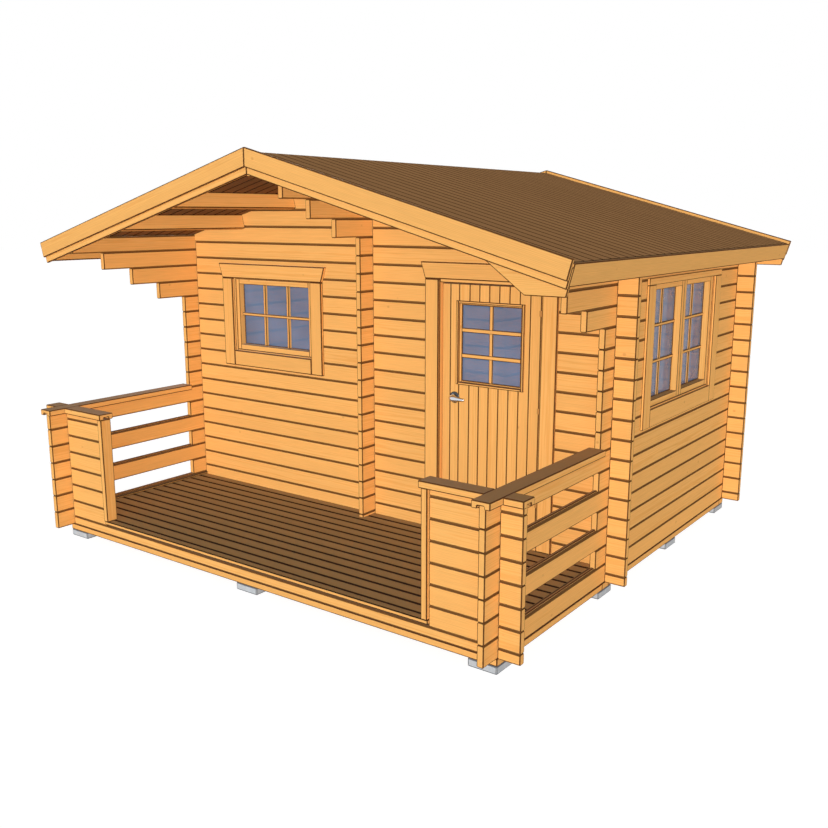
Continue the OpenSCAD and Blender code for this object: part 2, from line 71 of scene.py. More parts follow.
# Sticks: every log, board and bar is an outline carried straight along an axis
axesX = np.array(((1, 0, 0), (0, 1, 0), (0, 0, 1)), float)  # along, across, up
axesY = np.array(((0, 1, 0), (-1, 0, 0), (0, 0, 1)), float)
axesZ = np.array(((0, 0, 1), (1, 0, 0), (0, 1, 0)), float)
rightSlope = np.array(((lean, 0, -sine), (0, 1, 0), (sine, 0, lean)), float)
leftSlope = np.array(((-lean, 0, -sine), (0, -1, 0), (-sine, 0, lean)), float)

# how edges are worked: bevel, dark line beside it, darkness of the bevel, bevel and line round the ends; the
# darkened bevels between logs are painted shade in the grooves
logCut = {"ease": house["logChamfer"], "line": 0.0025, "dark": 0.72, "end": 0.0035, "ring": 0.0024}
boardCut = {"ease": 0.0035, "line": 0.0032, "dark": 1.0, "end": 0.0035, "ring": 0.002}
barCut = {"ease": 0.0025, "line": 0.0030, "dark": 1.0, "end": 0.002, "ring": 0.0015}
deckCut = {"ease": 0.004, "line": 0.005, "dark": 1.0, "end": 0.003, "ring": 0.002}
noseCut = dict(deckCut, line=0.0022)
roofCut = {"ease": 0.006, "line": 0.002, "dark": 1.0, "end": 0.003, "ring": 0.0015}
blockCut = {"ease": 0.006, "line": 0.003, "dark": 0.7, "end": 0.005, "ring": 0.002}
sashCut = {"ease": 0.002, "line": 0.0014, "dark": 1.0, "end": 0.002, "ring": 0.001}
# casings have a wider dark line, painted shade along their sides
casingCut = {"ease": 0.0035, "line": 0.0045, "dark": 1.0, "end": 0.0035, "ring": 0.002}
puttyCut = {"ease": 0.001, "line": 0.0019, "dark": 1.0, "end": 0.001, "ring": 0.001}
rimCut = {"ease": 0.001, "line": 0.0008, "dark": 1.0, "end": 0.001, "ring": 0.0006}
slimCut = {"ease": 0.0025, "line": 0.0016, "dark": 1.0, "end": 0.0025, "ring": 0.001}
tongueCut = {"ease": 0.002, "line": 0.0045, "dark": 1.0, "end": 0.002, "ring": 0.001}
# a wide dark bevel that darkens a strip all over: painted shade
shadeStripCut = {"ease": 0.010, "line": 0.0, "dark": 0.8, "end": 0.001, "ring": 0.0}
paneCut = {"ease": 0.0005, "line": 0.0, "dark": 0.0, "end": 0.0005, "ring": 0.0}


# a pile gathers the sticks of one piece
def newPile():
    parts = ("points", "quads", "caps", "quadDark", "capDark", "tone", "grain")
    return {"count": 0, **{part: [] for part in parts}}


def rectangles(low, high):
    u0, v0, u1, v1 = low[:, 0], low[:, 1], high[:, 0], high[:, 1]
    return np.stack((np.stack((u0, u1, u1, u0), 1), np.stack((v0, v0, v1, v1), 1)), 2)


def rectangle(u0, v0, u1, v1):
    return rectangles(np.array(((u0, v0),)), np.array(((u1, v1),)))


# each corner is cut back by the bevel along both of its sides, with a point more where a dark line ends
def easedOutline(corners, cut):
    side = np.roll(corners, -1, 1) - corners
    side /= np.linalg.norm(side, axis=2, keepdims=True)
    before = np.roll(side, 1, 1)
    near, far = cut["ease"], cut["ease"] + cut["line"]
    places = [corners - before * near, corners + side * near]
    if cut["line"]:
        places = [corners - before * far, *places, corners + side * far]
    return np.stack(places, 2).reshape(len(corners), -1, 2)


# every point moves inwards along the sum of its sides' normals, over one plus their product
def insetOutline(outline, inset):
    side = np.roll(outline, -1, 1) - outline
    side /= np.linalg.norm(side, axis=2, keepdims=True)
    inward = np.stack((-side[..., 1], side[..., 0]), 2)
    before = np.roll(inward, 1, 1)
    share = 1 + np.sum(inward * before, 2, keepdims=True)
    return outline + inset * (inward + before) / share


# a number per stick, or a function of the place on the outline where an end is cut aslant
def endPlace(place, outline):
    if callable(place):
        return place(outline[..., 0], outline[..., 1])
    return np.reshape(place, (-1, 1)) + 0 * outline[..., 0]


# every stick has its own place in a tree, drawn at random: turn and distance of the pith,
# shift along the grain, and tone
stickSet = {"turn": 6.28, "pith": (0.03, 0.09), "shift": 30, "tone": (0.965, 1.03), "shortest": 6}


# outlines carried from start to end in rings; the end ones are drawn in, so that all edges are eased
def addSticks(pile, corners, axes, starts, ends, origin=(0, 0, 0), cut=boardCut, grainAxis=0):
    outline = easedOutline(np.asarray(corners, float), cut)
    inner = insetOutline(outline, cut["end"])
    first, last = endPlace(starts, outline), endPlace(ends, outline)
    most = (last - first) / stickSet["shortest"]  # a short stick has smaller bevels
    bevel, strip = np.minimum(cut["end"], most), np.minimum(cut["line"], most)
    head = [(endPlace(starts, inner), inner), (first + bevel, outline)]
    tail = [(last - bevel, outline), (endPlace(ends, inner), inner)]
    ringEnds, sideDark = [True, False, True], [cut["dark"], 0]
    if cut["line"]:
        core = insetOutline(inner, cut["ring"])
        head = [(endPlace(starts, core), core), *head, (first + bevel + strip, outline)]
        tail = [(last - bevel - strip, outline), *tail, (endPlace(ends, core), core)]
        ringEnds, sideDark = [True] * 3 + [False] + [True] * 3, [1, cut["dark"], 1, 0]
    local = np.stack([np.concatenate((place[..., None], ring), 2) for place, ring in head + tail], 1)
    count, rings, around = local.shape[:3]
    points = local @ np.asarray(axes) + np.asarray(origin, float) + setOut
    numbers = pile["count"] + np.arange(count * rings * around).reshape(count, rings, around)
    following = np.roll(numbers, -1, 2)
    quads = np.stack((numbers[:, :-1], following[:, :-1], following[:, 1:], numbers[:, 1:]), 3)
    # dark lines beside every edge and darkened bevels, darker still round the ends; between logs they are
    # painted shade in the grooves
    sideDark, endDark = np.resize(sideDark, around), np.full(around, min(1, 2 * cut["dark"]))
    dark = np.stack([endDark if isEnd else sideDark for isEnd in ringEnds])
    angle = rng.uniform(0, stickSet["turn"], count)
    pith = rng.uniform(*stickSet["pith"], count)[:, None] * np.stack((np.cos(angle), np.sin(angle)), 1)
    middle = local.mean((1, 2))
    grain = np.roll(local - middle[:, None, None], -grainAxis, 3)
    grain[..., 1:] += pith[:, None, None]
    grain[..., 0] += rng.uniform(0, stickSet["shift"], count)[:, None, None]
    pile["points"].append(points.reshape(-1, 3))
    pile["quads"].append(quads.reshape(-1, 4))
    pile["caps"].append(np.concatenate((numbers[:, 0, ::-1], numbers[:, -1])))
    pile["quadDark"].append(np.tile(dark.ravel(), count))
    pile["capDark"].append(np.zeros(2 * count))
    pile["tone"].append(np.repeat(rng.uniform(*stickSet["tone"], count), rings * around))
    pile["grain"].append(grain.reshape(-1, 3))
    pile["count"] += count * rings * around


# boxes given by two corners each, run along x, y or z
def addBoxes(pile, axis, corners, cut=boardCut):
    corners = np.asarray(corners, float).reshape(-1, 2, 3)
    low, high = corners.min(1), corners.max(1)
    if axis == 0:
        faces = rectangles(low[:, 1:], high[:, 1:])
    elif axis == 1:
        faces = rectangles(np.stack((-high[:, 0], low[:, 2]), 1), np.stack((-low[:, 0], high[:, 2]), 1))
    else:
        faces = rectangles(low[:, :2], high[:, :2])
    addSticks(pile, faces, (axesX, axesY, axesZ)[axis], low[:, axis], high[:, axis], cut=cut)


def mirrored(corners):
    corners = np.asarray(corners, float).reshape(-1, 2, 3)
    return np.concatenate((corners, corners * (-1, 1, 1)))


crossings = ((-halfW, -innerW), (-logT / 2, logT / 2), (innerW, halfW))  # left wall, partition, right wall


# a log is seen as separate lengths between the walls that pass through it,
# where the roof leaves room for them
def freeLengths(row, crossed, underRoof):
    low, high, start, end = row
    limit = (ridgeUnder - high * course) / slope if underRoof else math.inf
    made = []
    for near, far in crossed:
        if start < near and far < end and max(-near, far) + logT < limit:
            made.append((low, high, start, near - house["notchGap"]))
            start = far + house["notchGap"]
    return made + [(low, high, start, end)]


# logs along the front: rows are lower joint, upper joint, left end and right end;
# under the roof their ends are cut aslant
def logsAcross(pile, faceY, rows, underRoof=False, crossed=crossings):
    rows = np.array([length for row in rows for length in freeLengths(row, crossed, underRoof)])
    low, high = rows[:, 0] * course, rows[:, 1] * course
    faces = rectangles(np.stack((faceY + 0 * low, low), 1), np.stack((faceY + logT + 0 * low, high), 1))
    starts, ends = rows[:, 2], rows[:, 3]
    if underRoof:
        left, right = starts[:, None], ends[:, None]
        starts = lambda u, v: np.maximum(left, (v - ridgeUnder) / slope)
        ends = lambda u, v: np.minimum(right, (ridgeUnder - v) / slope)
    addSticks(pile, faces, axesX, starts, ends, cut=logCut)


# logs along the sides, from the face at x to the face a log's thickness further
def logsAlong(pile, faceX, rows):
    rows = np.asarray(rows, float)
    low, high = rows[:, 0] * course, rows[:, 1] * course
    faces = rectangles(np.stack((-faceX - logT + 0 * low, low), 1), np.stack((-faceX + 0 * low, high), 1))
    addSticks(pile, faces, axesY, rows[:, 2], rows[:, 3], cut=logCut)


def makePiece(name, pile, material, body, nodes):
    mesh = bpy.data.meshes.new(name)
    quads = np.concatenate(pile["quads"])
    caps = [cap for group in pile["caps"] for cap in group.tolist()]
    mesh.from_pydata(np.concatenate(pile["points"]).tolist(), [], quads.tolist() + caps)
    # per face: dark lines and darkened bevels, painted shade in the grooves between logs
    dark = np.concatenate(pile["quadDark"] + pile["capDark"]).astype(np.float32)
    mesh.attributes.new("dark", "FLOAT", "FACE").data.foreach_set("value", dark)
    tone = np.concatenate(pile["tone"]).astype(np.float32)
    mesh.attributes.new("tone", "FLOAT", "POINT").data.foreach_set("value", tone)
    grain = np.concatenate(pile["grain"]).astype(np.float32)
    mesh.attributes.new("grain", "FLOAT_VECTOR", "POINT").data.foreach_set("vector", grain.ravel())
    placePiece(name, mesh, material, body, nodes)


def placePiece(name, mesh, material, body, nodes):
    piece = bpy.data.objects.new(name, mesh)
    bpy.context.scene.collection.objects.link(piece)
    mesh.materials.append(material)
    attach(piece, body)
    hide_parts(*nodes)


# Materials
def startMaterial(name):
    material = bpy.data.materials.new(name)
    material.use_nodes = True
    tree = material.node_tree
    tree.nodes.clear()
    output = tree.nodes.new("ShaderNodeOutputMaterial")
    shader = tree.nodes.new("ShaderNodeBsdfPrincipled")
    tree.links.new(shader.outputs[0], output.inputs[0])
    return material, tree, shader


def addNode(tree, kind, values=None, links=None, **settings):
    node = tree.nodes.new("ShaderNode" + kind)
    for key, value in settings.items():
        setattr(node, key, value)
    for key, value in (values or {}).items():
        node.inputs[key].default_value = value
    for key, socket in (links or {}).items():
        tree.links.new(socket, node.inputs[key])
    return node


def mixColour(tree, factor, first, second):
    node = addNode(tree, "Mix", data_type="RGBA")
    for place, value in ((0, factor), (6, first), (7, second)):
        if isinstance(value, bpy.types.NodeSocket):
            tree.links.new(value, node.inputs[place])
        else:
            node.inputs[place].default_value = (*value, 1.0)
    return node.outputs[2]


# a range of values laid on another
def ranged(tree, value, start=(0, 1), end=(0, 1)):
    names = ("From Min", "From Max", "To Min", "To Max")
    return addNode(tree, "MapRange", dict(zip(names, (*start, *end))), {"Value": value}).outputs[0]


def noise(tree, place, scale, detail, rough=0.5):
    values = {"Scale": scale, "Detail": detail, "Roughness": rough}
    return addNode(tree, "TexNoise", values, {"Vector": place}).outputs["Fac"]


def cellDistance(tree, place, scale):
    return addNode(tree, "TexVoronoi", {"Scale": scale}, {"Vector": place}).outputs["Distance"]


# two values worked into one
def worked(tree, operation, first, second):
    return addNode(tree, "Math", links={0: first, 1: second}, operation=operation).outputs[0]


def scaled(tree, colour, factor):
    return addNode(tree, "VectorMath", links={0: colour, "Scale": factor}, operation="SCALE").outputs[0]


def stretched(tree, place, scale):
    return addNode(tree, "Mapping", {"Scale": scale}, {"Vector": place}).outputs[0]


def attribute(tree, name, output="Fac"):
    return addNode(tree, "Attribute", attribute_name=name).outputs[output]


def objectPlace(tree):
    return addNode(tree, "TexCoord").outputs["Object"]


def setBump(tree, shader, height, values):
    bump = addNode(tree, "Bump", values, {"Height": height}).outputs[0]
    tree.links.new(bump, shader.inputs["Normal"])


pineLook = {
    "light": (0.92, 0.485, 0.146),  # planed pine
    "ring": (0.82, 0.37, 0.088),  # late wood of a growth ring
    "knot": (0.42, 0.14, 0.035),
    "top": (0.35, 0.19, 0.06),  # faces that look up are painted brown: painted shade
    "edge": (0.12, 0.048, 0.015),  # dark line along every edge, and darkened bevels: painted shade in the grooves between logs
    "gloss": 0.03,
}
deckLook = dict(pineLook, top=(0.36, 0.245, 0.115), edge=(0.03, 0.016, 0.009), gloss=0.0)
brownLook = {
    "light": (0.27, 0.155, 0.08),  # sides and undersides, painted darker than the tops as shade
    "ring": (0.17, 0.095, 0.045),
    "knot": (0.09, 0.04, 0.018),
    "top": (0.435, 0.228, 0.095),
    "edge": (0.035, 0.017, 0.008),
    "gloss": 0.0,
}
grainSet = {
    "rings": (0.05, 1, 1),  # rings, fibres and knots are stretched along the stick and across it
    "fibres": (5, 210, 210),
    "knots": (0.75, 1, 1),
    "ringWave": {"Scale": 38.0, "Distortion": 5.0, "Detail": 3.0, "Detail Scale": 1.2},
    "ringKind": {"wave_type": "RINGS", "rings_direction": "X", "wave_profile": "SIN"},
    "fibreNoise": (1.0, 3.0),  # scale and detail
    "cloudNoise": (9.0, 2.0),
    "knotScale": 5.0,
    "late": ((0.55, 1.0), (0.0, 0.55)),  # from here on, the range of a pattern and what it becomes
    "knot": ((0.035, 0.06), (0.3, 0.0)),
    "streak": ((0.3, 0.7), (0.94, 1.05)),
    "cloud": ((0.3, 0.7), (0.97, 1.03)),
    # faces that look up this far take the painted top shading
    "paintedTopRange": ((0.45, 0.65), (0, 1)),
    "rough": ((0, 1), (0.62, 0.8)),
    "lateHeight": 0.35,  # late wood stands up this much against the fibres
    "bump": {"Strength": 0.25, "Distance": 0.0006},
}


# solid wood: rings about each stick's own pith, drawn out along the stick,
# with fibres, knots, painted shading on faces that look up, and dark edge lines that paint shade in the
# grooves between logs
def woodMaterial(name, look):
    material, tree, shader = startMaterial(name)
    grain = attribute(tree, "grain", "Vector")
    drawnOut = stretched(tree, grain, grainSet["rings"])
    rings = addNode(tree, "TexWave", grainSet["ringWave"], {"Vector": drawnOut}, **grainSet["ringKind"])
    late = ranged(tree, rings.outputs["Fac"], *grainSet["late"])
    fibre = noise(tree, stretched(tree, grain, grainSet["fibres"]), *grainSet["fibreNoise"])
    cells = cellDistance(tree, stretched(tree, grain, grainSet["knots"]), grainSet["knotScale"])
    colour = mixColour(tree, late, look["light"], look["ring"])
    colour = mixColour(tree, ranged(tree, cells, *grainSet["knot"]), colour, look["knot"])
    facing = addNode(tree, "SeparateXYZ", links={0: addNode(tree, "NewGeometry").outputs["Normal"]})
    # faces that look up get painted shading: darker brown on pine, lighter than the undersides on the brown
    # boards
    colour = mixColour(tree, ranged(tree, facing.outputs["Z"], *grainSet["paintedTopRange"]), colour, look["top"])
    streak = ranged(tree, fibre, *grainSet["streak"])
    cloud = ranged(tree, noise(tree, drawnOut, *grainSet["cloudNoise"]), *grainSet["cloud"])
    shade = worked(tree, "MULTIPLY", streak, attribute(tree, "tone"))
    colour = scaled(tree, colour, worked(tree, "MULTIPLY", shade, cloud))
    # dark lines and darkened bevels along the edges; painted shade in the grooves between logs
    colour = mixColour(tree, attribute(tree, "dark"), colour, look["edge"])
    tree.links.new(colour, shader.inputs["Base Color"])
    tree.links.new(ranged(tree, fibre, *grainSet["rough"]), shader.inputs["Roughness"])
    shader.inputs["Specular IOR Level"].default_value = look["gloss"]
    lateHeight = {1: grainSet["lateHeight"]}
    height = addNode(tree, "Math", lateHeight, {0: late, 2: fibre}, operation="MULTIPLY_ADD")
    setBump(tree, shader, height.outputs[0], grainSet["bump"])
    return material


concreteLook = {
    "pale": (0.60, 0.63, 0.66), "grey": (0.46, 0.49, 0.52), "edge": (0.16, 0.17, 0.18), "rough": 0.88,
    "cloudNoise": (14.0, 5.0, 0.65), "gritNoise": (420.0, 3.0), "pitScale": 95.0,
    "cloud": ((0.3, 0.7), (0, 1)), "grit": ((0.35, 0.7), (0.9, 1.08)), "pit": ((0.08, 0.2), (1.0, 0.0)),
    "bump": {"Strength": 0.5, "Distance": 0.002},
}


# cast concrete: cloudy grey with fine grit and small pits
def concreteMaterial(look):
    material, tree, shader = startMaterial("castConcrete")
    place = objectPlace(tree)
    cloud = ranged(tree, noise(tree, place, *look["cloudNoise"]), *look["cloud"])
    grit = noise(tree, place, *look["gritNoise"])
    pit = ranged(tree, cellDistance(tree, place, look["pitScale"]), *look["pit"])
    colour = mixColour(tree, cloud, look["pale"], look["grey"])
    colour = scaled(tree, colour, ranged(tree, grit, *look["grit"]))
    colour = mixColour(tree, attribute(tree, "dark"), colour, look["edge"])
    tree.links.new(colour, shader.inputs["Base Color"])
    shader.inputs["Roughness"].default_value = look["rough"]
    setBump(tree, shader, worked(tree, "SUBTRACT", grit, pit), look["bump"])
    return material


glassLook = {
    "tint": (0.098, 0.17, 0.285), "paler": (0.1225, 0.2125, 0.35625), "cover": 0.7, "gloss": 0.25,
    "rough": 0.06, "bending": 1.5, "driftNoise": (3.5, 1.0), "drift": (0.35, 0.65),
}


# window glass: a blue-grey pane that lets part of the room show, a little paler in places
def glassMaterial(look):
    material, tree, shader = startMaterial("paneGlass")
    drift = ranged(tree, noise(tree, objectPlace(tree), *look["driftNoise"]), look["drift"])
    tree.links.new(mixColour(tree, drift, look["tint"], look["paler"]), shader.inputs["Base Color"])
    shader.inputs["Roughness"].default_value = look["rough"]
    shader.inputs["IOR"].default_value = look["bending"]
    shader.inputs["Specular IOR Level"].default_value = look["gloss"]
    shader.inputs["Alpha"].default_value = look["cover"]
    return material


leverLook = {"base": (0.66, 0.68, 0.71), "rough": (0.12, 0.26), "smear": (160.0, 2.0)}
roseLook = dict(leverLook, base=(0.085, 0.09, 0.095), rough=(0.18, 0.3))


# steel, brushed very finely
def steelMaterial(name, look):
    material, tree, shader = startMaterial(name)
    smear = noise(tree, objectPlace(tree), *look["smear"])
    tree.links.new(ranged(tree, smear, end=look["rough"]), shader.inputs["Roughness"])
    shader.inputs["Base Color"].default_value = (*look["base"], 1)
    shader.inputs["Metallic"].default_value = 1.0
    return material


lacquerLook = {
    "fresh": (0.62, 0.29, 0.08), "worn": (0.48, 0.21, 0.055), "wear": (120.0, 3.0),
    "rough": 0.5, "gloss": 0.2,
}


# brown lacquer on the hinges, worn a little unevenly
def lacquerMaterial(look):
    material, tree, shader = startMaterial("hingeLacquer")
    wear = noise(tree, objectPlace(tree), *look["wear"])
    tree.links.new(mixColour(tree, wear, look["fresh"], look["worn"]), shader.inputs["Base Color"])
    shader.inputs["Roughness"].default_value = look["rough"]
    shader.inputs["Specular IOR Level"].default_value = look["gloss"]
    return material


pine = woodMaterial("planedPine", pineLook)
deckPine = woodMaterial("deckPine", deckLook)
brown = woodMaterial("brownBoards", brownLook)
concrete = concreteMaterial(concreteLook)
glass = glassMaterial(glassLook)
steel = steelMaterial("polishedSteel", leverLook)
darkSteel = steelMaterial("darkSteel", roseLook)
lacquer = lacquerMaterial(lacquerLook)
print("materials made")


# most pieces are of planed pine and stand still
def pinePiece(name, pile, node, body="house"):
    makePiece(name, pile, pine, body, [node])


# Base: blocks, sills, joists and floors
baseSet = {"block": 0.2, "blockTop": -0.048, "sill": 0.095}
pile = newPile()
size = baseSet["block"]
for x in (-halfW, -size / 2, halfW - size):
    for y in (porchY, logT / 2 - size / 2, house["depth"] / 2 - size / 2, house["depth"] - size):
        addBoxes(pile, 2, ((x, y, -setOut[2]), (x + size, y + size, baseSet["blockTop"])), blockCut)
makePiece("concreteBlocks", pile, concrete, "house", ["foundation_blocks"])

sillW, sillZ = baseSet["sill"], baseSet["blockTop"]
midSill = logT / 2 - sillW / 2
sillY = (porchY, midSill, house["depth"] - sillW)
pile = newPile()
addBoxes(pile, 0, [((-halfW, y, sillZ), (halfW, y + sillW, 0)) for y in sillY])
pinePiece("crossSills", pile, "cross_sills")
pile = newPile()
spans = ((porchY + sillW, midSill), (midSill + sillW, house["depth"] - sillW))
addBoxes(pile, 1, [((x, a, sillZ), (x + sillW, b, 0)) for x in (-halfW, halfW - sillW) for a, b in spans])
addBoxes(pile, 1, ((-sillW / 2, spans[1][0], sillZ), (sillW / 2, spans[1][1], 0)))
pinePiece("longSills", pile, "long_sills")

deckSet = {
    "pitch": 0.1055, "boards": 13, "thick": 0.028, "gap": 0.008, "nose": 0.015, "noseX": 1.55,
    "joistPitch": 0.72, "joists": 6, "joistW": 0.045, "shadeStrip": 0.022,
}
floorTop = house["floorTop"]
deckLow = floorTop - deckSet["thick"]
joistX = (np.arange(deckSet["joists"]) - (deckSet["joists"] - 1) / 2) * deckSet["joistPitch"]
joistHalf = deckSet["joistW"] / 2
deckStart = porchY + logT
pile = newPile()
addBoxes(pile, 1, [((x - joistHalf, deckStart, 0), (x + joistHalf, 0, deckLow)) for x in joistX])
pinePiece("porchJoists", pile, "porch_joists")

pile = newPile()
rows = deckStart + deckSet["pitch"] * np.arange(deckSet["boards"])
gap = deckSet["gap"] / 2
for a, b in zip(rows, np.append(rows[1:], 0.0)):
    addBoxes(pile, 0, ((-innerW, a + gap, deckLow), (innerW, b - gap, floorTop)), deckCut)
noseX = deckSet["noseX"]
nose = ((-noseX, porchY - deckSet["nose"], deckLow), (noseX, deckStart - gap, floorTop))
addBoxes(pile, 0, nose, noseCut)
# strips that close the deck's edges, up to the top of the lowest rails; they are dark all over, painted
# shade beside the rails
for x in (-innerW, innerW - deckSet["shadeStrip"]):
    addBoxes(pile, 1, ((x, deckStart, floorTop), (x + deckSet["shadeStrip"], 0, course)), shadeStripCut)
makePiece("deckBoards", pile, deckPine, "house", ["porch_deck"])

floorSet = {"pitch": 0.098, "gap": 0.001, "doorway": (1.3, 2.0)}
pile = newPile()
edges = np.linspace(logT, backY, 1 + round((backY - logT) / floorSet["pitch"]))
for a, b in zip(edges[:-1], edges[1:]):
    inDoorway = floorSet["doorway"][0] < a and b < floorSet["doorway"][1]
    for x0, x1 in ([(-innerW, innerW)] if inDoorway else [(-innerW, -logT / 2), (logT / 2, innerW)]):
        addBoxes(pile, 0, ((x0, a + floorSet["gap"], deckLow), (x1, b - floorSet["gap"], floorTop)), barCut)
addBoxes(pile, 1, [((x - joistHalf, logT, 0), (x + joistHalf, backY, deckLow)) for x in joistX])
makePiece("roomFloorBoards", pile, brown, "house", ["room_floor"])
print("base and floors made")


# Log walls
wallSet = {
    "windowX": (-1.52, -0.59), "windowRows": (9.5, 14.5),
    "sideWindowY": (0.59, 1.854), "sideWindowRows": (8, 15), "doorX": (0.6015, 1.5425),
    "plainRows": 15,  # courses below the gables and the partition's top
    "gableRows": 6, "gableClear": 0.004,  # the gables' top logs stay this far under the ridge
    "ridgeClear": 0.03,  # and the partition's this share of a course
    "eaveRow": 13, "steps": 0.269,  # lowest stepped log under the eaves, and how far each steps out
    "railRows": (0, 2, 4, 6), "railTop": 7, "innerEnd": 0.1,
    "postX": 1.505, "postW": 0.045, "postD": 0.09,
}
reach = halfW + logEnd
plainRows = wallSet["plainRows"]
gableTop = (ridgeUnder - wallSet["gableClear"]) / course
frontRows = [(0, 0.5)] + [(k + 0.5, k + 1.5) for k in range(plainRows)]
gableRows = [(k + 0.5, min(k + 1.5, gableTop)) for k in range(plainRows, plainRows + wallSet["gableRows"])]

pile = newPile()
windowNear, windowFar = wallSet["windowX"]
doorNear, doorFar = wallSet["doorX"]
for a, b in frontRows:
    beside = wallSet["windowRows"][0] <= a and b <= wallSet["windowRows"][1]
    cuts = [(-reach, windowNear), (windowFar, doorNear)] if beside else [(-reach, doorNear)]
    logsAcross(pile, 0, [(a, b, x0, x1) for x0, x1 in cuts])
pinePiece("frontLogsLeft", pile, "front_wall_left")
pile = newPile()
logsAcross(pile, 0, [(a, b, doorFar, reach) for a, b in frontRows])
pinePiece("frontLogsRight", pile, "front_wall_right")
pile = newPile()
logsAcross(pile, 0, [(a, b, -reach, reach) for a, b in gableRows], True)
pinePiece("frontGableLogs", pile, "front_gable")
pile = newPile()
logsAcross(pile, backY, [(a, b, -reach, reach) for a, b in frontRows + gableRows], True)
pinePiece("backLogs", pile, "back_wall")

sideEnd = house["depth"] + logEnd


# one log of a side wall, in two lengths where the window cuts it
def sideLengths(k, start, window):
    rows, (near, far) = wallSet["sideWindowRows"], wallSet["sideWindowY"]
    if window and rows[0] <= k < rows[1]:
        return [(k, k + 1, start, near), (k, k + 1, far, sideEnd)]
    return [(k, k + 1, start, sideEnd)]


# logs that a porch rail carries on start in the front corner, and the others reach past it
def sideRows(window):
    starts = [logT / 2 if k in wallSet["railRows"] else -logEnd for k in range(wallSet["eaveRow"])]
    return [length for k, start in enumerate(starts) for length in sideLengths(k, start, window)]


# stepped logs under the eaves, and a top one that is planed aslant
def eaveLogs(pile, faceX, front, window):
    lowest, topRow = wallSet["eaveRow"], house["roofRows"] - 1
    rows = []
    for k in range(lowest, topRow):
        rows += sideLengths(k, -logEnd - (k + 1 - lowest) * wallSet["steps"], window)
    logsAlong(pile, faceX, rows)
    low, high, planed = topRow * course, house["roofRows"] * course, ridgeUnder - halfW * slope
    u0, u1 = -faceX - logT, -faceX
    addSticks(pile, [((u0, low), (u1, low), (u1, high), (u0, planed))], axesY, front, sideEnd, cut=logCut)


# the right eave's top log stops behind the board that closes the eave's end
for name, faceX, boards, window in (("left", -halfW, 2, False), ("right", innerW, 3, True)):
    pile = newPile()
    logsAlong(pile, faceX, sideRows(window))
    pinePiece(name + "SideLogs", pile, name + "_wall")
    pile = newPile()
    eaveLogs(pile, faceX, roofFront + boards * boardT, window)
    pinePiece(name + "EaveLogs", pile, name + "_eave_logs")

pile = newPile()
logsAlong(pile, -logT / 2, [(k, k + 1, -logEnd, floorSet["doorway"][0]) for k in range(plainRows)])
pinePiece("partitionLogsFront", pile, "partition_front")
pile = newPile()
logsAlong(pile, -logT / 2, [(k, k + 1, floorSet["doorway"][1], sideEnd) for k in range(plainRows)])
pinePiece("partitionLogsBack", pile, "partition_back")
pile = newPile()
starts = [-logEnd] * 2 + [-logEnd - k * wallSet["steps"] for k in (1, 2, 3)] + [roofFront + 2 * boardT]
rows = [[plainRows + k, plainRows + k + 1, start, sideEnd] for k, start in enumerate(starts)]
rows[-1][1] -= wallSet["ridgeClear"]
logsAlong(pile, -logT / 2, rows)
pinePiece("partitionLogsTop", pile, "partition_top")
print("log walls made")


# Porch: half log, stubs, corner log ends, rails, posts and caps
railTop, innerEnd = wallSet["railTop"], porchY + logT + wallSet["innerEnd"]
pile = newPile()
logsAcross(pile, porchY, [(0, 0.5, -reach, reach)], crossed=crossings[::2])
pinePiece("porchFrontLog", pile, "porch_front_log")
stubX = wallSet["postX"] + wallSet["postW"]
stubRows = [(k + 0.5, k + 1.5) for k in range(railTop - 1)] + [(railTop - 0.5, railTop)]
stubEnds = ((stubX, reach), (-reach, -stubX))
pile = newPile()
logsAcross(pile, porchY, [(a, b, *ends) for a, b in stubRows for ends in stubEnds])
pinePiece("porchStubLogs", pile, "porch_stubs")

tongueSet = {"width": 0.022, "height": 0.015}
corners, rails = newPile(), newPile()
for faceX in (-halfW, innerW):
    for k in range(railTop):
        isRail = k in wallSet["railRows"]
        logsAlong(corners, faceX, [(k, k + 1, porchY - logEnd, porchY + logT / 2 if isRail else innerEnd)])
        if isRail:
            logsAlong(rails, faceX, [(k, k + 1, porchY + logT / 2, logT / 2)])
        if isRail and k + 1 < railTop:  # the tongue on a log shows between the corners
            x, z = faceX + (logT - tongueSet["width"]) / 2, (k + 1) * course
            far = (x + tongueSet["width"], -logEnd, z + tongueSet["height"])
            addBoxes(rails, 1, ((x, innerEnd, z), far), tongueCut)
pinePiece("porchCornerLogs", corners, "porch_corners")
pinePiece("porchRailLogs", rails, "porch_rails")

capSet = {"width": 0.12, "thick": 0.045, "rebate": 0.019, "clear": 0.0005, "over": 0.02}
capLow = railTop * course - capSet["rebate"]
midY, midX, postHalf = porchY + logT / 2, innerW + logT / 2, wallSet["postD"] / 2
pile = newPile()
post = ((wallSet["postX"], midY - postHalf, floorTop), (stubX, midY + postHalf, capLow))
addBoxes(pile, 2, mirrored(post))
pinePiece("porchEndPosts", pile, "end_posts")


# cap board with a rebate below that sits over the log
def capOutline(middle):
    wide, rebate = capSet["width"] / 2, logT / 2 + capSet["clear"]
    deep, thick = capSet["rebate"], capSet["thick"]
    us = np.array((-wide, -rebate, -rebate, rebate, rebate, wide, wide, -wide)) + middle
    vs = np.array((0, 0, deep, deep, 0, 0, thick, thick)) + capLow
    return np.stack((us, vs), 1)[None]


pile = newPile()
for x in (-midX, midX):
    addSticks(pile, capOutline(x), axesY, porchY - logEnd - capSet["over"], -logEnd)
pinePiece("sideCapBoards", pile, "side_caps")
pile = newPile()
wide = capSet["width"] / 2
for a, b in ((wallSet["postX"] - capSet["over"] / 2, midX - wide), (midX + wide, reach + capSet["over"])):
    for x0, x1 in ((a, b), (-b, -a)):
        addSticks(pile, capOutline(midY), axesX, x0, x1)
pinePiece("frontCapBoards", pile, "front_caps")
print("porch made")


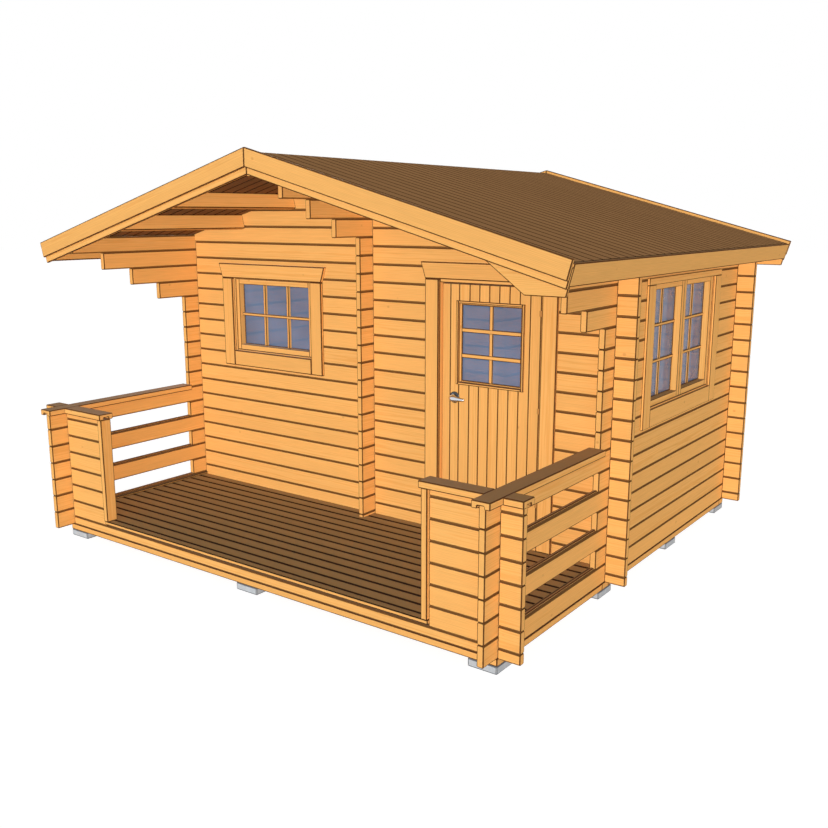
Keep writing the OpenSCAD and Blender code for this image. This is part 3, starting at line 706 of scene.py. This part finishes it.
# Roof: boards from ridge to eave, purlins, bargeboards, trims, fascias and end boards
roofSet = {
    "pitch": 0.112, "phase": 0.030, "before": 12,  # joints: spacing, place of one, most before it
    "narrowest": 0.02, "gap": 0.0004, "thick": 0.021,
    "bargeW": 0.12, "bargeRise": 0.025, "trimShow": 0.045, "fasciaH": 0.128,
    "purlinX": (0.399 * halfW, 0.69 * halfW), "purlinH": 0.115,
}
pitch, narrowest = roofSet["pitch"], roofSet["narrowest"]
near, far = roofFront + boardT, roofRear - boardT
behindFront, behindRear = roofFront + 2 * boardT, roofRear - 2 * boardT  # behind bargeboards and trims
bargeTop = roofSet["thick"] + roofSet["bargeRise"]  # bargeboards rise this far over the roof's underside
trimLow = roofSet["bargeW"] + roofSet["trimShow"]
ridgeTop = ridgeUnder + bargeTop / lean
slopeEnd = eaveReach / lean  # from the ridge to the ends of the bargeboards, along the slope
boardEnd = slopeEnd - boardT - bargeTop * slope  # roof boards end at the back of the fascias
joints = np.arange(roofSet["phase"] - roofSet["before"] * pitch, far, pitch)
joints = joints[(joints > near + narrowest) & (joints < far - narrowest)]
joints = np.concatenate(([near], joints, [far]))
spans = np.stack((joints[:-1] + roofSet["gap"] / 2, joints[1:] - roofSet["gap"] / 2), 1)
bargeKinds = (  # name, node, upper and lower edge below the ridge, places from front to back
    ("Bargeboards", "_barges", 0, roofSet["bargeW"], (roofFront, roofRear - boardT)),
    ("LowerBargeboards", "_trims", bargeTop, trimLow, (roofFront + boardT, behindRear)),
)
ridgeCut = lambda u, v: -v * slope  # boards meet plumb at the ridge
for axes, name in ((leftSlope, "left"), (rightSlope, "right")):
    turn = axes[1, 1]
    ys = np.sort(spans * turn, 1)
    flat = 0 * ys[:, 0]
    faces = rectangles(np.stack((ys[:, 0], flat), 1), np.stack((ys[:, 1], flat + roofSet["thick"]), 1))
    pile = newPile()
    addSticks(pile, faces, axes, ridgeCut, boardEnd, (0, 0, ridgeUnder), roofCut)
    makePiece(name + "RoofBoards", pile, brown, "house", ["roof_" + name])
    for kind, node, upper, lower, places in bargeKinds:
        pile = newPile()
        for y in places:
            u0, u1 = sorted((y * turn, (y + boardT) * turn))
            face = rectangle(u0, -lower, u1, -upper)
            addSticks(pile, face, axes, ridgeCut, slopeEnd, (0, 0, ridgeTop))
        pinePiece(name + kind, pile, name + node)

# purlins are seen as three lengths: before, between and behind the gables
clear = house["notchGap"]
purlinSpans = ((behindFront, -clear), (0, house["depth"]), (house["depth"] + clear, behindRear))
pile = newPile()
face = rectangle(-logT / 2, -roofSet["purlinH"], logT / 2, 0)
for axes in (leftSlope, rightSlope):
    side = np.sign(axes[0, 0])
    turned = np.array(((0, 1, 0), -side * axes[0], axes[2]))
    for x in roofSet["purlinX"]:
        for start, end in purlinSpans:
            addSticks(pile, face, turned, start, end, (x * side, 0, ridgeUnder - x * slope))
pinePiece("purlinBars", pile, "purlins")

# fascias hang square to the roof, flush with the ends of the bargeboards
fasciaLow = roofSet["bargeRise"] + roofSet["fasciaH"]
pile = newPile()
face = rectangle(slopeEnd - boardT, -fasciaLow, slopeEnd, -roofSet["bargeRise"])
for axes in (leftSlope, rightSlope):
    u0, u1 = sorted((behindFront * axes[1, 1], behindRear * axes[1, 1]))
    addSticks(pile, face, np.array((-axes[1], axes[0], axes[2])), -u1, -u0, (0, 0, ridgeTop))
pinePiece("fasciaBoards", pile, "fascias")

endSet = {"low": 15.11 * course, "foot": 0.304, "head": 0.558, "clear": 0.0005}
low, foot, head = endSet["low"], eaveReach - endSet["foot"], eaveReach - endSet["head"]
headLow = ridgeTop - head * slope - trimLow / lean
# the outer end is cut round the foot of the fascia and goes on down in line with its face
behind, under = boardT + endSet["clear"], fasciaLow + endSet["clear"]
along = slopeEnd - np.array((behind, behind, 0, 0))
below = np.array((bargeTop, under, under, (ridgeTop - eaveReach * slope - low) / lean))
xs = np.concatenate(((head, head), along * lean - below * sine, (foot,)))
zs = np.concatenate(((headLow, ridgeUnder - head * slope), ridgeTop - along * sine - below * lean, (low,)))
pile = newPile()
for y in (behindFront, roofRear - 3 * boardT):
    addSticks(pile, np.stack((-xs, zs), 1)[None], axesY, y, y + boardT, grainAxis=1)
pinePiece("eaveEndBoards", pile, "eave_end_boards")
print("roof made")


# Windows and door: casings, frames, sashes, bars and panes
# corners are given along a wall, inwards from its face and up; side is true for the right wall
def inWall(corners, side):
    corners = np.asarray(corners, float).reshape(-1, 2, 3)
    if not side:
        return corners
    return np.stack((halfW - corners[..., 1], corners[..., 0], corners[..., 2]), 2)


trimSet = {
    "width": 0.12, "thick": 0.028, "lap": 0.018, "apron": 0.13, "apronLap": 0.025,
    "splay": 0.04, "header": 0.122, "putty": 0.006, "barProud": 0.001,
}


# boards round an opening; the header's ends may splay outwards as they rise
def addCasing(pile, middle, holeW, heights, headerH, splay, side, apron=True, thick=boardT, cut=casingCut):
    footZ, headZ = heights
    clear = holeW / 2 - (trimSet["lap"] if apron else 0)
    wide = clear + trimSet["width"]
    for x in (middle - wide, middle + clear):
        addBoxes(pile, 2, inWall(((x, -thick, footZ), (x + trimSet["width"], 0, headZ)), side), cut)
    if apron:
        board = ((middle - clear, -thick, footZ), (middle + clear, 0, footZ + trimSet["apron"]))
        addBoxes(pile, 1 if side else 0, inWall(board, side), cut)
    low, high = np.sort(inWall(((0, -thick, headZ), (0, 0, headZ + headerH)), side)[0], 0)
    near, far = (-high[0], -low[0]) if side else (low[1], high[1])
    face = rectangle(near, low[2], far, high[2])
    spread = lambda v: wide + splay * (v - headZ) / headerH
    left, right = (lambda u, v: middle - spread(v)), (lambda u, v: middle + spread(v))
    addSticks(pile, face, axesY if side else axesX, left, right, cut=cut)


# stiles run past the rails: two stiles and two rails round a clear space
def addRing(pile, xs, zs, stiles, rail, ys, side, cut=boardCut):
    (x0, x1), (z0, z1), (y0, y1), (first, second) = xs, zs, ys, stiles
    uprights = [((x0, y0, z0), (x0 + first, y1, z1)), ((x1 - second, y0, z0), (x1, y1, z1))]
    addBoxes(pile, 2, inWall(uprights, side), cut)
    rails = [((x0 + first, y0, z), (x1 - second, y1, z + rail)) for z in (z0, z1 - rail)]
    addBoxes(pile, 1 if side else 0, inWall(rails, side), cut)
    return (x0 + first, x1 - second), (z0 + rail, z1 - rail)


# glazing bars that part a light into equal panes; cross bars stand a little prouder than upright ones
def addBars(pile, xs, zs, panes, width, ys, side):
    half, proud, (columns, rows) = width / 2, trimSet["barProud"], panes
    for k in range(1, columns):
        x = xs[0] + k * (xs[1] - xs[0]) / columns
        addBoxes(pile, 2, inWall(((x - half, ys[0], zs[0]), (x + half, ys[1], zs[1])), side), barCut)
    for k in range(1, rows):
        z = zs[0] + k * (zs[1] - zs[0]) / rows
        ends = ((xs[0], ys[0] - proud, z - half), (xs[1], ys[1] + proud, z + half))
        addBoxes(pile, 1 if side else 0, inWall(ends, side), barCut)


# a pane, and the dark line of putty along its edges that joins the sash's pile
def addPane(pile, sash, xs, zs, ys, side):
    addBoxes(pile, 2, inWall(((xs[0], ys[0], zs[0]), (xs[1], ys[1], zs[1])), side), paneCut)
    wide = trimSet["putty"]
    for near, far in ((ys[0] - wide, ys[0]), (ys[1], ys[1] + wide)):
        addRing(sash, xs, zs, (wide, wide), wide, (near, far), side, puttyCut)


windowSet = {
    "frame": 0.03, "rail": 0.034, "sash": 0.036, "sashRail": 0.044, "meeting": 0.045, "meetingGap": 0.001,
    "frameY": (0.002, 0.082), "sashY": (0.009, 0.080), "glassY": (0.064, 0.070), "bar": 0.024,
    "headLap": 0.027, "sideHeadLap": 0.037, "sideHeader": 0.049,
}
frameStiles, rail, frameY = (windowSet["frame"],) * 2, windowSet["rail"], windowSet["frameY"]
sash, sashRail, sashY = windowSet["sash"], windowSet["sashRail"], windowSet["sashY"]
frontWindow = {
    "x": -1.055, "w": 0.93, "z": (9.5 * course, 14.5 * course), "barY": (0.040, 0.079), "panes": (3, 2),
}
middle, wide, (z0, z1) = frontWindow["x"], frontWindow["w"], frontWindow["z"]
heights = (z0 + trimSet["apronLap"] - trimSet["apron"], z1 - windowSet["headLap"])
pile = newPile()
addCasing(pile, middle, wide, heights, trimSet["header"], trimSet["splay"], False, thick=trimSet["thick"])
pinePiece("frontWindowCasing", pile, "front_window_casing")
pile, panes = newPile(), newPile()
outer = (middle - wide / 2, middle + wide / 2)
xs, zs = addRing(pile, outer, (z0, z1), frameStiles, rail, frameY, False, sashCut)
xs, zs = addRing(pile, xs, zs, (sash, sash), sashRail, sashY, False, sashCut)
addBars(pile, xs, zs, frontWindow["panes"], windowSet["bar"], frontWindow["barY"], False)
addPane(panes, pile, xs, zs, windowSet["glassY"], False)
pinePiece("frontWindowSash", pile, "front_window_frame")
makePiece("frontWindowPane", panes, glass, "house", ["front_window_glass"])

sideWindow = {
    "y": 1.222, "w": 1.264, "z": (8 * course, 15 * course), "barY": (0.054, 0.079), "panes": (2, 3),
}
middle, wide, (z0, z1) = sideWindow["y"], sideWindow["w"], sideWindow["z"]
heights = (z0 + trimSet["apronLap"] - trimSet["apron"], z1 - windowSet["sideHeadLap"])
pile = newPile()
addCasing(pile, middle, wide, heights, windowSet["sideHeader"], 0.0, True, cut=slimCut)
pinePiece("sideWindowCasing", pile, "side_window_casing")
pile, panes = newPile(), newPile()
outer = (middle - wide / 2, middle + wide / 2)
inner, frameZ = addRing(pile, outer, (z0, z1), frameStiles, rail, frameY, True, sashCut)
meeting, gap = windowSet["meeting"], windowSet["meetingGap"]
leftSash = ((inner[0], middle - gap), (sash, meeting))
rightSash = ((middle + gap, inner[1]), (meeting, sash))
for ends, stiles in (leftSash, rightSash):
    xs, zs = addRing(pile, ends, frameZ, stiles, sashRail, sashY, True, sashCut)
    addBars(pile, xs, zs, sideWindow["panes"], windowSet["bar"], sideWindow["barY"], True)
    addPane(panes, pile, xs, zs, windowSet["glassY"], True)
pinePiece("sideWindowSashes", pile, "side_window_frame")
makePiece("sideWindowPanes", panes, glass, "house", ["side_window_glass"])
print("windows made")

doorSet = {
    "x": 1.072, "w": 0.851, "jamb": 0.045, "gap": 0.005, "depth": 0.1, "stop": 0.015, "stopY": 0.076,
    "sill": 0.14, "sillDepth": 0.045, "head": 15.5 * course, "leafZ": (0.146, 1.976), "leafY": (0.03, 0.07),
    "boards": 0.0825, "joints": 10, "firstJoint": 0.723, "snap": 0.012,
    "lightX": (0.799, 1.327), "lightZ": (1.262, 1.838), "bead": 0.018, "beadT": 0.016, "rim": 0.016,
    "bar": 0.031, "barY": (0.040, 0.060), "glassY": (0.047, 0.053), "panes": (2, 3),
}
doorCut = {"ease": 0.003, "line": 0.0018, "dark": 1.0, "end": 0.003, "ring": 0.0012}
d0, d1 = doorSet["x"] - doorSet["w"] / 2, doorSet["x"] + doorSet["w"] / 2
leafLow, leafHigh = doorSet["leafZ"]
headZ, header = leafHigh + doorSet["gap"], trimSet["header"]
pile = newPile()
heights = (floorTop, headZ + trimSet["apronLap"])
addCasing(pile, doorSet["x"], doorSet["w"], heights, header, trimSet["splay"], False, False)
pinePiece("doorCasing", pile, "door_casing")
pile = newPile()
jamb, stop, stopY, deep = doorSet["jamb"], doorSet["stop"], doorSet["stopY"], doorSet["depth"]
sill, head = doorSet["sill"], doorSet["head"]
addBoxes(pile, 2, [((x, 0, sill), (x + jamb, deep, head)) for x in (d0 - jamb, d1)])
addBoxes(pile, 0, ((d0, 0, headZ), (d1, deep, head)))
addBoxes(pile, 2, [((x, stopY, sill), (x + stop, deep, headZ)) for x in (d0, d1 - stop)], barCut)
addBoxes(pile, 0, ((d0 + stop, stopY, headZ - stop), (d1 - stop, deep, headZ)), barCut)
pinePiece("doorJambs", pile, "door_frame")
pile = newPile()
addBoxes(pile, 0, ((d0 - jamb, 0, 0), (d1 + jamb, doorSet["sillDepth"], sill)))
pinePiece("doorSill", pile, "door_threshold")

pile = newPile()
joints = doorSet["firstJoint"] + doorSet["boards"] * np.arange(doorSet["joints"])
edges = np.concatenate(([d0 + doorSet["gap"]], joints, [d1 - doorSet["gap"]]))
(lx0, lx1), (lz0, lz1), (ly0, ly1) = doorSet["lightX"], doorSet["lightZ"], doorSet["leafY"]
# a joint near the light's left side runs along it
edges = np.where(abs(edges - lx0) < doorSet["snap"], lx0, edges)
for a, b in zip(edges[:-1], edges[1:]):
    if b <= lx0 or a >= lx1:
        addBoxes(pile, 2, ((a, ly0, leafLow), (b, ly1, leafHigh)), doorCut)
    elif b <= lx1:  # cut by the light into a lower and an upper length
        lengths = ((leafLow, lz0), (lz1, leafHigh))
        addBoxes(pile, 2, [((a, ly0, low), (b, ly1, high)) for low, high in lengths], doorCut)
    else:  # notched by the light on its left side
        xs = np.array((a, a, lx1, lx1, a, a, b, b))
        zs = np.array((leafLow, lz0, lz0, lz1, lz1, leafHigh, leafHigh, leafLow))
        addSticks(pile, np.stack((-xs, zs), 1)[None], axesY, ly0, ly1, cut=doorCut, grainAxis=2)
pinePiece("doorBoards", pile, "door_leaf", "door")

pile, panes = newPile(), newPile()
bead, thick, rim, barY = doorSet["bead"], doorSet["beadT"], doorSet["rim"], doorSet["barY"]
beadX, beadZ = (lx0 - bead, lx1 + bead), (lz0 - bead, lz1 + bead)
for y in (ly0 - thick, ly1):
    addRing(pile, beadX, beadZ, (bead, bead), bead, (y, y + thick), False, barCut)
xs, zs = addRing(pile, (lx0, lx1), (lz0, lz1), (rim, rim), rim / 2, barY, False, rimCut)
addBars(pile, xs, zs, doorSet["panes"], doorSet["bar"], barY, False)
addPane(panes, pile, xs, zs, doorSet["glassY"], False)
pinePiece("doorLightBeads", pile, "door_beads", "door")
makePiece("doorPane", panes, glass, "door", ["door_glass"])


# surface through rings of points: the last ring meets the first, or each end is closed by its own ring
def ringSurface(name, rings, material, body, node, closed=False):
    count, around = rings.shape[:2]
    numbers = np.arange(count * around).reshape(count, around)
    rows = np.concatenate((numbers, numbers[:1])) if closed else numbers
    following = np.roll(rows, -1, 1)
    quads = np.stack((rows[:-1], following[:-1], following[1:], rows[1:]), 2).reshape(-1, 4)
    caps = [] if closed else [numbers[0, ::-1].tolist(), numbers[-1].tolist()]
    mesh = bpy.data.meshes.new(name)
    mesh.from_pydata((rings.reshape(-1, 3) + setOut).tolist(), [], quads.tolist() + caps)
    mesh.shade_smooth()
    placePiece(name, mesh, material, body, [node])


handleSet = {
    "x": 0.765, "z": 1.142, "around": 40,
    "bar": 0.127, "off": 0.085, "bend": 0.030,  # spindle to tip, leaf's middle to bar, radius of the bend
    "high": (0.0115, 0.020), "deep": 0.0115, "tip": 0.0115,  # half height at both ends, half depth, rounding
    "neck": 0.024, "collar": 0.0265, "spindle": 0.006, "collarY": 0.0284,  # radii, and the collar's face
    "tipCut": 0.2, "points": (7, 9, 9),  # share of the tip's turn left out; rings on tip, bar and bend
    "barEnds": (0.012, 0.003), "neckEnds": (0.006, 0.004), "shoulder": 0.0003,  # where the section changes
}
roseSet = {  # outline from the bore out along the leaf and back over the top
    "bore": 0.0064,
    "radius": (0.042, 0.043, 0.043, 0.0418, 0.0385, 0.032, 0.0285, 0.0275),
    "height": (0, 0.001, 0.0028, 0.0046, 0.0058, 0.0068, 0.0072, 0.008),
}
turn = np.linspace(0, 2 * math.pi, handleSet["around"], endpoint=False)
# rose: a low dome, its outline turned about the spindle
roseR = np.array((roseSet["bore"], *roseSet["radius"], roseSet["bore"]))[:, None]
roseH = np.array((roseSet["height"][0], *roseSet["height"], roseSet["height"][-1]))[:, None]
for name, faceY, away in (("outerRose", ly0, -1), ("innerRose", ly1, 1)):
    x = handleSet["x"] + roseR * np.cos(turn)
    z = handleSet["z"] + roseR * np.sin(turn)
    rings = np.stack((x, faceY + away * roseH + 0 * x, z), 2)
    ringSurface(name, rings if away < 0 else rings[::-1], darkSteel, "door", "handle_roses", True)

# lever: an oval carried from the outer tip along the bar, round a bend and through the leaf,
# and the same again inside
middle, bend, off, collarY = (handleSet[key] for key in ("x", "bend", "off", "collarY"))
tip, halfDeep = middle + handleSet["bar"], handleSet["deep"]
tipPoints, barPoints, bendPoints = handleSet["points"]
nose = np.linspace(handleSet["tipCut"], 1, tipPoints) * math.pi / 2
arc = np.linspace(0, math.pi / 2, bendPoints)
barX = np.linspace(tip - handleSet["barEnds"][0], middle + bend + handleSet["barEnds"][1], barPoints)
neckNear, neckFar = bend - off + handleSet["neckEnds"][0], -collarY - handleSet["neckEnds"][1]
neckY = np.array((neckNear, neckFar, -collarY, -collarY + handleSet["shoulder"], 0))
neck = np.array([handleSet[key] for key in ("neck", "collar", "collar", "spindle", "spindle")])
tipX, bendX = tip - handleSet["tip"] * (1 - np.cos(nose)), middle + bend * (1 - np.sin(arc))
pathX = np.concatenate((tipX, barX, bendX, 0 * neckY + middle))
pathY = np.concatenate((0 * nose - off, 0 * barX - off, bend * (1 - np.cos(arc)) - off, neckY))
swell = np.linspace(*handleSet["high"], barPoints)
highBend, deepBend = (np.linspace(size, neck[0], bendPoints) for size in (swell[-1], halfDeep))
high = np.concatenate((swell[0] * np.sin(nose), swell, highBend, neck))
deep = np.concatenate((halfDeep * np.sin(nose), 0 * swell + halfDeep, deepBend, neck))
pathX, high, deep = (np.concatenate((part, part[-2::-1])) for part in (pathX, high, deep))
path = np.stack((pathX, np.concatenate((pathY, -pathY[-2::-1])) + (ly0 + ly1) / 2), 1)
along = np.gradient(path, axis=0)
along /= np.linalg.norm(along, axis=1, keepdims=True)
across = deep[:, None] * np.stack((-along[:, 1], along[:, 0]), 1)
flat = path[:, None] + np.cos(turn)[None, :, None] * across[:, None]
rings = np.concatenate((flat, (handleSet["z"] + high[:, None] * np.sin(turn))[..., None]), 2)
ringSurface("leverHandle", rings, steel, "lever", "door_lever")
for node in ("hinge_pins", "hinge_knuckles"):
    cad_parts[node].data.materials.clear()
    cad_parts[node].data.materials.append(lacquer)
print("door made")


# Stage, lights and camera
stageSet = {
    "floor": 60.0, "floorZ": -0.001, "shade": 0.6, "seenShare": 0.5, "seenGlow": 1.78, "sky": 0.22,
    "paintedShadowUnderHouse": (0.1, 0.4),  # in from the edge of the base, the floor stops glowing between these: a painted shadow under the house
}
mesh = bpy.data.meshes.new("floor")
wide, low = stageSet["floor"], stageSet["floorZ"]
corners = [(-wide, -wide, low), (wide, -wide, low), (wide, wide, low), (-wide, wide, low)]
mesh.from_pydata(corners, [], [(0, 1, 2, 3)])
floor = bpy.data.objects.new("floor", mesh)
bpy.context.scene.collection.objects.link(floor)


# one for rays that the eye, a polished face or a pane sends out
def seenRays(tree):
    rays = addNode(tree, "LightPath").outputs
    seen = worked(tree, "MAXIMUM", rays["Is Camera Ray"], rays["Is Glossy Ray"])
    return worked(tree, "MAXIMUM", seen, rays["Is Transmission Ray"])


material = bpy.data.materials.new("paleFloor")
material.use_nodes = True
tree = material.node_tree
tree.nodes.clear()
matte = addNode(tree, "BsdfDiffuse", {"Color": (stageSet["shade"],) * 3 + (1,)})
glow = addNode(tree, "Emission", {"Color": (1, 1, 1, 1), "Strength": stageSet["seenGlow"]})
place = addNode(tree, "SeparateXYZ", links={0: objectPlace(tree)})
baseY = setOut[1] + (porchY + house["depth"]) / 2  # middle of the base from front to back
inside = []
for axis, middle, half in ((0, 0.0, halfW), (1, baseY, (house["depth"] - porchY) / 2)):
    away = addNode(tree, "Math", {1: middle}, {0: place.outputs[axis]}, operation="SUBTRACT").outputs[0]
    away = addNode(tree, "Math", links={0: away}, operation="ABSOLUTE").outputs[0]
    inside.append(addNode(tree, "Math", {0: half}, {1: away}, operation="SUBTRACT").outputs[0])
inside = worked(tree, "MINIMUM", *inside)
# the glow is taken away under the house by place, a painted shadow
glowing = ranged(tree, inside, stageSet["paintedShadowUnderHouse"], (stageSet["seenShare"], 0.0))
share = worked(tree, "MULTIPLY", glowing, seenRays(tree))
mixed = addNode(tree, "MixShader", links={0: share, 1: matte.outputs[0], 2: glow.outputs[0]})
addNode(tree, "OutputMaterial", links={0: mixed.outputs[0]})
mesh.materials.append(material)

world = bpy.data.worlds.new("softSky")
bpy.context.scene.world = world
world.use_nodes = True
tree = world.node_tree
tree.nodes.clear()
level = ranged(tree, seenRays(tree), end=(stageSet["sky"], 1.0))
sky = addNode(tree, "Background", {"Color": (1, 1, 1, 1)}, {"Strength": level})
addNode(tree, "OutputWorld", links={0: sky.outputs[0]})

# turn from the front towards the right, height and softness in degrees, strength,
# and whether it throws shadows
lamps = (
    ("frontKey", 31, 14, 50, 0.45, True),
    ("frontFill", 31, 6, 20, 2.52, False),
    ("rearFill", 225, 15, 20, 1.3, False),
)
for name, turn, high, soft, strength, shadow in lamps:
    lamp = bpy.data.lights.new(name, "SUN")
    lamp.energy, lamp.angle, lamp.use_shadow = strength, math.radians(soft), shadow
    item = bpy.data.objects.new(name, lamp)
    item.rotation_euler = (math.radians(90 - high), 0, math.radians(turn))
    bpy.context.scene.collection.objects.link(item)

rooms = {"power": 3.0, "size": 0.25, "places": ((-1.0, 1.2, 1.9), (1.0, 1.2, 1.9))}
for place in rooms["places"]:
    lamp = bpy.data.lights.new("roomLamp", "POINT")
    lamp.energy, lamp.shadow_soft_size = rooms["power"], rooms["size"]
    item = bpy.data.objects.new("roomLamp", lamp)
    item.location = np.array(place) + setOut
    bpy.context.scene.collection.objects.link(item)

view = {"place": (4.535, -6.211, 2.563), "turn": 36.29, "dip": 12.06, "lens": 40.637, "sensor": 36.0}
camera = bpy.data.objects.new("camera", bpy.data.cameras.new("camera"))
camera.data.lens, camera.data.sensor_width = view["lens"], view["sensor"]
camera.location = view["place"]
camera.rotation_euler = (math.radians(90 - view["dip"]), 0, math.radians(view["turn"]))
bpy.context.scene.collection.objects.link(camera)
bpy.context.scene.camera = camera
bpy.context.scene.view_settings.view_transform = "Standard"
print("stage, lamps and camera set")
